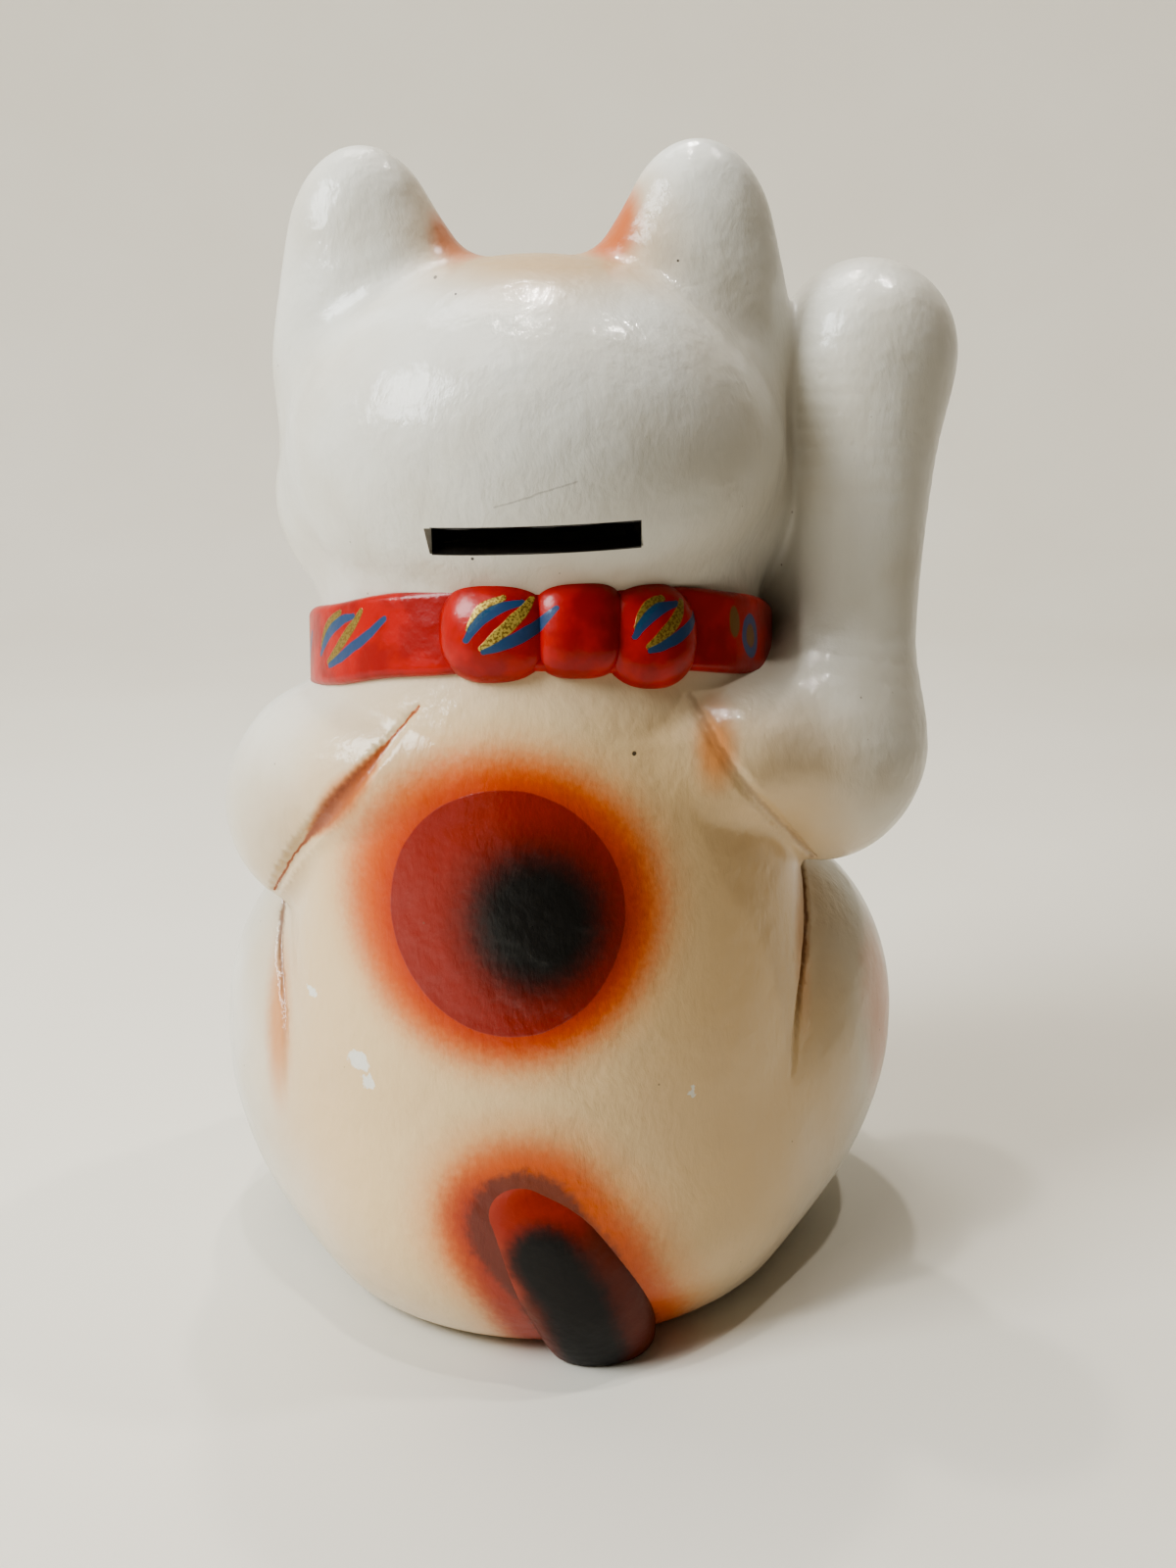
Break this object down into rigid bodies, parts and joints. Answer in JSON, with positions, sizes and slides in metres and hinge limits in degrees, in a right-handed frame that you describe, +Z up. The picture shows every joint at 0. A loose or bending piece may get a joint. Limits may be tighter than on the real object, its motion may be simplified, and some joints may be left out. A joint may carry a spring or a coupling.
{
  "type": "beckoning cat figurine",
  "caption": "Seated hollow ceramic cat with one raised paw, a red collar with a bow, a coin slot in the head and a stopper in the base.",
  "frame": {"origin": "middle of the base on the surface that the figurine stands on, on the axis of the body", "axes": "+Z up through the head, -Y to the cat's front, -X to the side of its raised right paw"},
  "size_m": [0.1748, 0.1445, 0.2494],
  "materials": {
    "white_glaze": "painted and lacquered",
    "tail_paint": "painted and lacquered",
    "red_paint": "painted and lacquered",
    "gold_paint": "gold paint, lacquered",
    "stopper_rubber": "matt"
  },
  "bodies": {
    "figurine": {"torso": "white_glaze", "head": "white_glaze", "raised_arm": "white_glaze", "left_arm": "white_glaze", "left_foot": "white_glaze", "right_foot": "white_glaze", "tail": "tail_paint", "collar_band": "red_paint", "bow_loop_left": "red_paint", "bow_knot": "red_paint", "bow_loop_right": "red_paint", "bell": "gold_paint", "koban": "gold_paint"},
    "stopper": {"stopper": "stopper_rubber"}
  },
  "joints": [
    {"name": "stopper_pull", "type": "slide", "parent": "figurine", "child": "stopper", "axis": [0, 0, -1], "range_m": [0, 0.03]}
  ]
}
